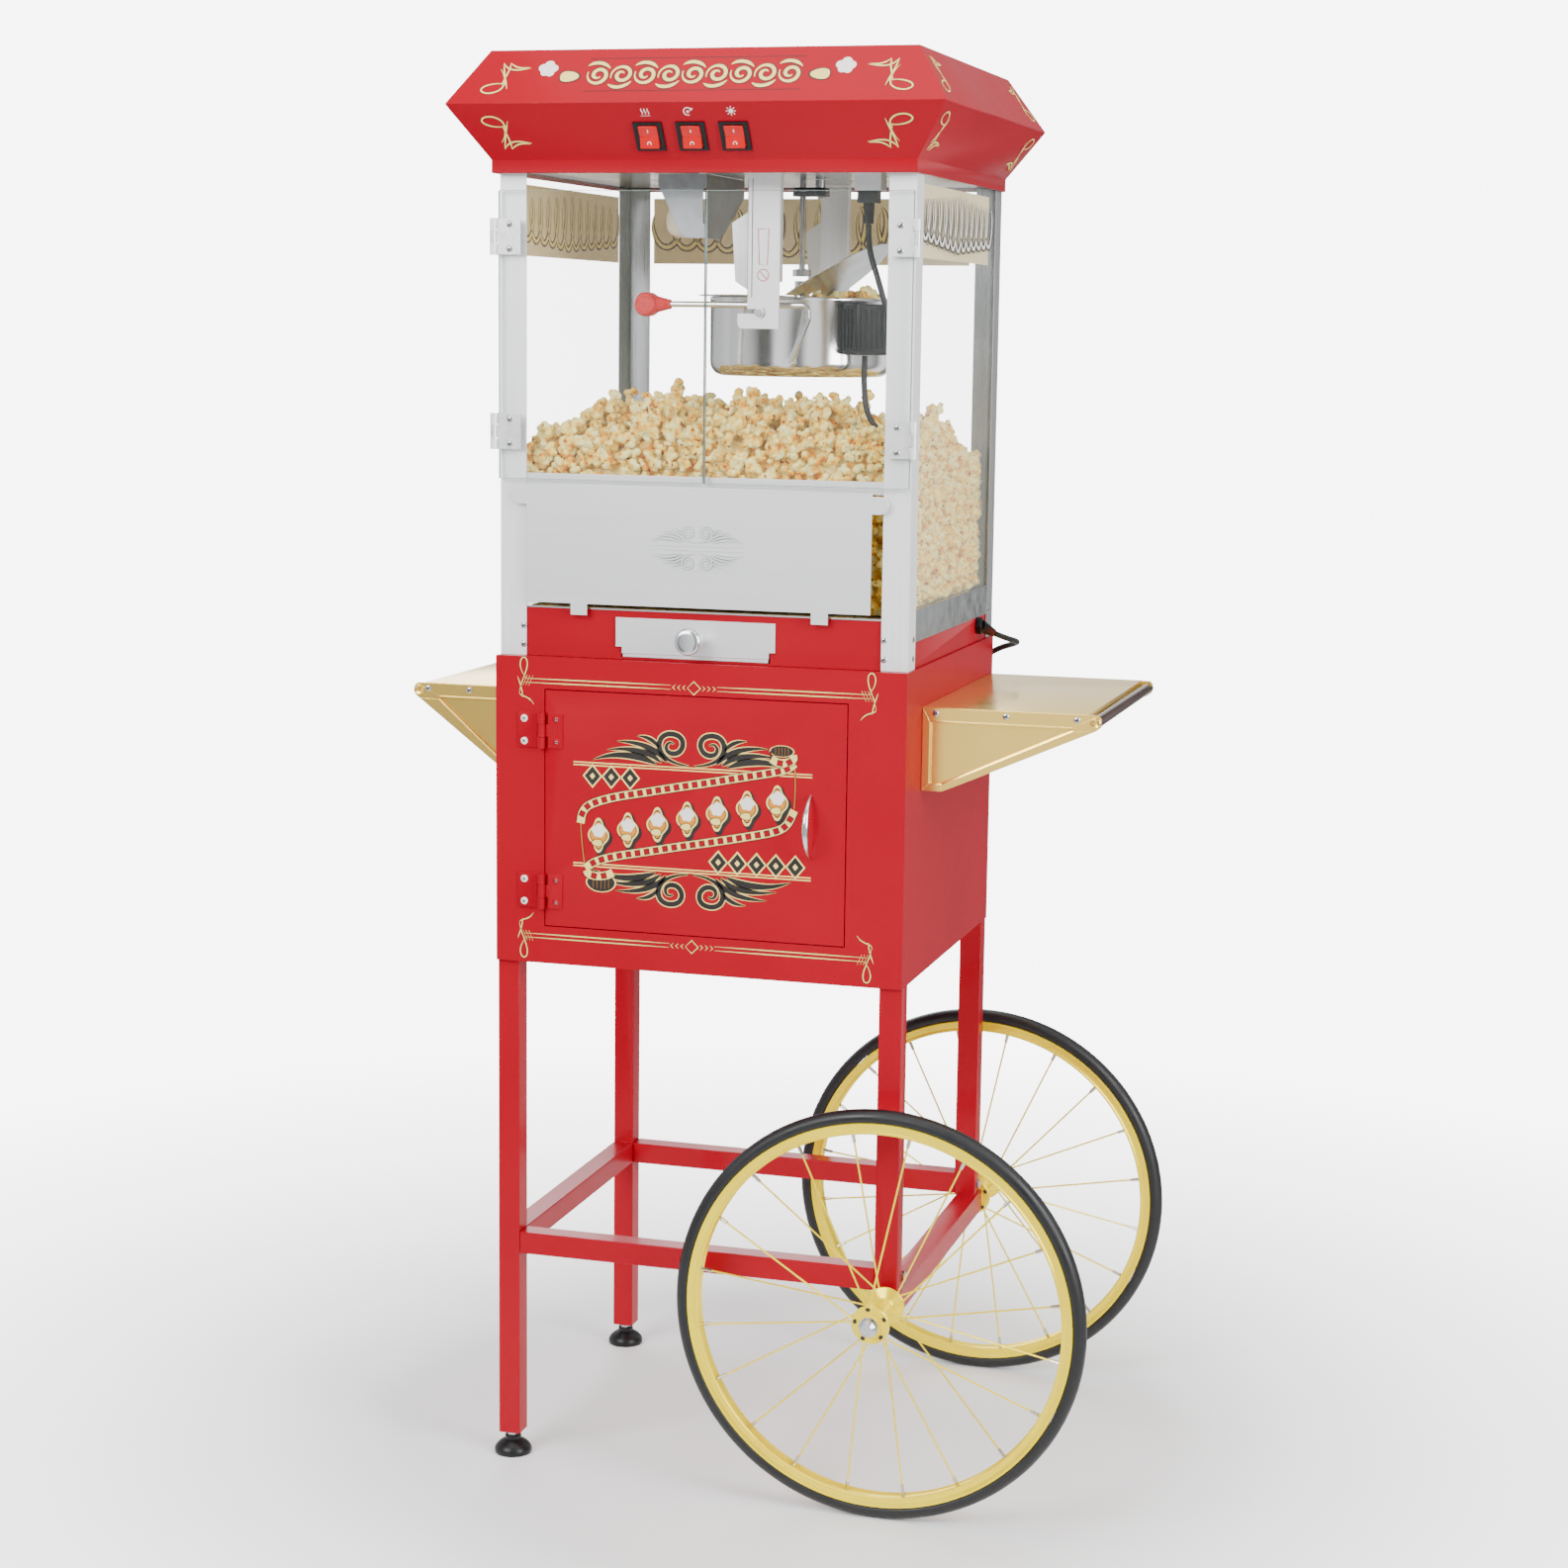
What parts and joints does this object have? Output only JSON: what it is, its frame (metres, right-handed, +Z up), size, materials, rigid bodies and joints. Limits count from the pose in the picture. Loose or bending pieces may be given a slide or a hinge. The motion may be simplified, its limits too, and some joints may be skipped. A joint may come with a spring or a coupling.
{
  "type": "popcorn cart",
  "caption": "Two-wheeled popcorn cart: glass popper with a tipping pan, hinged glass doors and a kernel drawer on a cabinet with side shelves and spoked wheels.",
  "frame": {"origin": "on the floor, under the middle of the whole cart's footprint, cords left out", "axes": "+X to the operator's right, the wheel side; -Y is the front with the doors and switches; +Z up"},
  "size_m": [0.8126, 0.602, 1.569],
  "materials": {
    "red_paint": "gloss red enamel",
    "brushed_steel": "brushed stainless sheet",
    "aluminium": "satin anodised extrusion",
    "bright_steel": "polished and nickel plated",
    "brass": "satin brass plate",
    "gold_paint": "gold paint",
    "rubber": "black solid rubber",
    "black_plastic": "black plastic",
    "cord_jacket": "black flexible jacket",
    "switch_red": "gloss red plastic",
    "clear_glass": "clear pane",
    "dark_grip": "dark brown gloss",
    "lamp": "warm frosted bulb"
  },
  "bodies": {
    "cart": {"left_leg_frame": "red_paint", "right_leg_frame": "red_paint", "rail_front": "red_paint", "rail_rear": "red_paint", "axle": "bright_steel", "cabinet_shell": "red_paint", "shelf_right": "brass", "shelf_right_grip": "dark_grip", "shelf_left": "brass", "shelf_left_grip": "dark_grip", "popper_base": "red_paint", "sifting_deck": "brushed_steel", "post_front_left": "aluminium", "post_front_right": "aluminium", "post_rear_left": "aluminium", "post_rear_right": "aluminium", "side_glass_left": "clear_glass", "side_glass_right": "clear_glass", "rear_glass": "clear_glass", "front_sill": "brushed_steel", "hood": "red_paint", "ceiling_plate": "brushed_steel", "gear_motor": "black_plastic", "lamp": "lamp", "lamp_shield": "brushed_steel", "pan_arm_front": "aluminium", "pan_arm_rear": "aluminium", "mains_cord": "cord_jacket", "mains_coil": "cord_jacket", "mains_plug": "black_plastic", "pan_lead": "cord_jacket", "lead_plug": "black_plastic"},
    "wheel_front": {"wheel_front": "gold_paint", "tyre_front": "rubber"},
    "wheel_rear": {"wheel_rear": "gold_paint", "tyre_rear": "rubber"},
    "foot_front_left": {"foot_front_left": "black_plastic"},
    "foot_rear_left": {"foot_rear_left": "black_plastic"},
    "cabinet_door": {"cabinet_door": "red_paint", "door_pull": "brass"},
    "glass_door_left": {"door_glass_left": "clear_glass", "door_hinge_left_lower": "bright_steel", "door_hinge_left_upper": "bright_steel"},
    "glass_door_right": {"door_glass_right": "clear_glass", "door_hinge_right_lower": "bright_steel", "door_hinge_right_upper": "bright_steel"},
    "retaining_panel": {"retaining_panel": "brushed_steel"},
    "kernel_drawer": {"kernel_drawer": "brushed_steel", "drawer_knob": "brushed_steel"},
    "pan": {"pan": "bright_steel", "terminal_box": "black_plastic", "tip_handle": "bright_steel"},
    "lid_left": {"pan_lid_left": "brushed_steel"},
    "lid_right": {"pan_lid_right": "brushed_steel"},
    "stirrer": {"stirrer": "bright_steel"},
    "drive_shaft": {"drive_shaft": "bright_steel"},
    "rocker_heat": {"rocker_heat": "switch_red"},
    "rocker_motor": {"rocker_motor": "switch_red"},
    "rocker_light": {"rocker_light": "switch_red"}
  },
  "joints": [
    {"name": "wheel_front_spin", "type": "hinge", "parent": "cart", "child": "wheel_front", "pos_m": [0.1778, -0.25, 0.2285], "axis": [0, 1, 0], "continuous": true},
    {"name": "wheel_rear_spin", "type": "hinge", "parent": "cart", "child": "wheel_rear", "pos_m": [0.1778, 0.25, 0.2285], "axis": [0, 1, 0], "continuous": true},
    {"name": "foot_front_left_screw", "type": "hinge", "parent": "cart", "child": "foot_front_left", "pos_m": [-0.2657, -0.195, 0.02], "axis": [0, 0, 1], "continuous": true},
    {"name": "foot_rear_left_screw", "type": "hinge", "parent": "cart", "child": "foot_rear_left", "pos_m": [-0.2657, 0.195, 0.02], "axis": [0, 0, 1], "continuous": true},
    {"name": "cabinet_door_swing", "type": "hinge", "parent": "cart", "child": "cabinet_door", "pos_m": [-0.2237, -0.216, 0.7545], "axis": [0, 0, -1], "range_deg": [0, 110]},
    {"name": "glass_door_left_swing", "type": "hinge", "parent": "cart", "child": "glass_door_left", "pos_m": [-0.2807, -0.2122, 1.2695], "axis": [0, 0, -1], "range_deg": [0, 110]},
    {"name": "glass_door_right_swing", "type": "hinge", "parent": "cart", "child": "glass_door_right", "pos_m": [0.1893, -0.2122, 1.2695], "axis": [0, 0, 1], "range_deg": [0, 110]},
    {"name": "retaining_panel_drop", "type": "hinge", "parent": "cart", "child": "retaining_panel", "pos_m": [-0.0457, -0.2065, 0.9745], "axis": [1, 0, 0], "range_deg": [0, 90]},
    {"name": "drawer_slide", "type": "slide", "parent": "cart", "child": "kernel_drawer", "axis": [0, -1, 0], "range_m": [0, 0.2]},
    {"name": "pan_tip", "type": "hinge", "parent": "cart", "child": "pan", "pos_m": [-0.0027, 0.005, 1.297], "axis": [0, -1, 0], "range_deg": [0, 24]},
    {"name": "lid_left_lift", "type": "hinge", "parent": "pan", "child": "lid_left", "pos_m": [-0.0072, 0.005, 1.3164], "axis": [0, 1, 0], "range_deg": [0, 45]},
    {"name": "lid_right_lift", "type": "hinge", "parent": "pan", "child": "lid_right", "pos_m": [0.0138, 0.005, 1.3164], "axis": [0, 1, 0], "range_deg": [-26, 34]},
    {"name": "drive_shaft_spin", "type": "hinge", "parent": "cart", "child": "drive_shaft", "pos_m": [0.0033, 0.005, 1.4], "axis": [0, 0, 1], "continuous": true},
    {"name": "stirrer_spin", "type": "hinge", "parent": "pan", "child": "stirrer", "pos_m": [0.0033, 0.005, 1.3], "axis": [0, 0, 1], "continuous": true},
    {"name": "rocker_heat_tilt", "type": "hinge", "parent": "cart", "child": "rocker_heat", "pos_m": [-0.0965, -0.23311, 1.478], "axis": [1, 0, 0], "range_deg": [0, 16]},
    {"name": "rocker_motor_tilt", "type": "hinge", "parent": "cart", "child": "rocker_motor", "pos_m": [-0.0495, -0.23311, 1.478], "axis": [1, 0, 0], "range_deg": [0, 16]},
    {"name": "rocker_light_tilt", "type": "hinge", "parent": "cart", "child": "rocker_light", "pos_m": [-0.0025, -0.23311, 1.478], "axis": [1, 0, 0], "range_deg": [0, 16]}
  ],
  "couplings": [
    {"joint": "stirrer_spin", "follows": "drive_shaft_spin", "ratio": 1}
  ]
}
